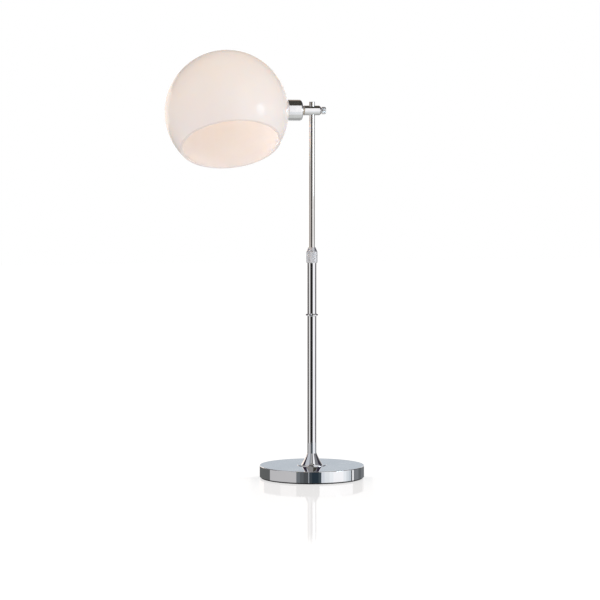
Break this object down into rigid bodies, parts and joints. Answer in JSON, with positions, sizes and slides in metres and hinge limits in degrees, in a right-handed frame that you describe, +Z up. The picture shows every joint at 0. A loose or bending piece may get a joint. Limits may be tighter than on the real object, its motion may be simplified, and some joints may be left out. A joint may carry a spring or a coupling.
{
  "type": "glass globe table lamp",
  "caption": "Table lamp with a cut opal glass globe on a side arm, a telescoping chrome stem with a knurled height lock, and a round weighted foot.",
  "frame": {"origin": "centre of the foot pad's underside, on the stem's axis", "axes": "+Z up along the stem, -X along the arm towards the globe, -Y the side the mouth is rolled to, +Y the cord inlet"},
  "size_m": [0.3273, 0.2, 0.6958],
  "materials": {
    "polished_chrome": "polished",
    "cast_iron": "rough",
    "foam": "closed-cell foam",
    "black_plastic": "moulded",
    "zinc_steel": "zinc plated",
    "raw_brass": "turned",
    "nylon": "moulded",
    "satin_chrome": "satin",
    "fibre": "vulcanised fibre",
    "opal_glass": "opal, glossy",
    "silicone": "soft",
    "white_plastic": "moulded",
    "ceramic": "unglazed",
    "lamp_aluminium": "rolled",
    "black_glass": "fused",
    "frosted_glass": "frosted"
  },
  "bodies": {
    "stand": {"base_shell": "polished_chrome", "base_weight": "cast_iron", "foot_pad": "foam", "cord_bushing": "black_plastic", "stem_nipple": "zinc_steel", "stem_washer": "zinc_steel", "toothed_washer": "zinc_steel", "stem_nut": "zinc_steel", "rosette": "polished_chrome", "foot_cone": "polished_chrome", "tube_plug": "raw_brass", "lower_tube": "polished_chrome", "tube_ring": "polished_chrome", "joint_insert": "raw_brass", "guide_bush": "nylon", "sleeve_tube": "polished_chrome", "collet": "raw_brass"},
    "press_ring": {"press_ring": "raw_brass"},
    "lock_collar": {"lock_collar": "satin_chrome"},
    "rod_glider": {"rod_glider": "nylon"},
    "mast": {"upper_rod": "satin_chrome", "rod_cap": "satin_chrome"},
    "head": {"hub": "satin_chrome", "grub_screw": "zinc_steel", "friction_washer": "fibre"},
    "clamp_pad": {"clamp_pad": "raw_brass"},
    "clamp_screw": {"clamp_screw": "satin_chrome"},
    "shade": {"spindle": "raw_brass", "cup": "satin_chrome", "cup_washer": "zinc_steel", "cup_nut": "zinc_steel", "globe": "opal_glass", "outer_gasket": "silicone", "inner_gasket": "silicone", "ring_nut": "white_plastic", "holder_cap": "white_plastic", "holder_core": "ceramic", "terminal_screws": "zinc_steel", "holder_sleeve": "white_plastic", "screw_shell": "raw_brass", "centre_contact": "raw_brass", "lamp_cap": "lamp_aluminium", "lamp_insulator": "black_glass", "lamp_button": "raw_brass", "lamp_glass": "frosted_glass"}
  },
  "joints": [
    {"name": "collar_travel", "type": "slide", "parent": "stand", "child": "press_ring", "axis": [0, 0, 1], "range_m": [0, 0.001]},
    {"name": "collar_turn", "type": "hinge", "parent": "press_ring", "child": "lock_collar", "pos_m": [0, 0, 0.365], "axis": [0, 0, 1], "range_deg": [0, 360]},
    {"name": "rod_slide", "type": "slide", "parent": "stand", "child": "rod_glider", "axis": [0, 0, 1], "range_m": [-0.14, 0.05]},
    {"name": "rod_turn", "type": "hinge", "parent": "rod_glider", "child": "mast", "pos_m": [0, 0, 0.197], "axis": [0, 0, 1], "range_deg": [-170, 170]},
    {"name": "head_swivel", "type": "hinge", "parent": "mast", "child": "head", "pos_m": [0, 0, 0.599], "axis": [0, 0, 1], "range_deg": [-30, 30]},
    {"name": "pad_travel", "type": "slide", "parent": "head", "child": "clamp_pad", "axis": [1, 0, 0], "range_m": [0, 0.0008]},
    {"name": "screw_turn", "type": "hinge", "parent": "clamp_pad", "child": "clamp_screw", "pos_m": [0.015, 0, 0.599], "axis": [1, 0, 0], "range_deg": [0, 360]},
    {"name": "shade_roll", "type": "hinge", "parent": "head", "child": "shade", "pos_m": [-0.014, 0, 0.599], "axis": [-1, 0, 0], "range_deg": [-119, 61]}
  ],
  "couplings": [
    {"joint": "collar_turn", "follows": "collar_travel", "rad_per_m": 6283.2},
    {"joint": "screw_turn", "follows": "pad_travel", "rad_per_m": 7854}
  ]
}
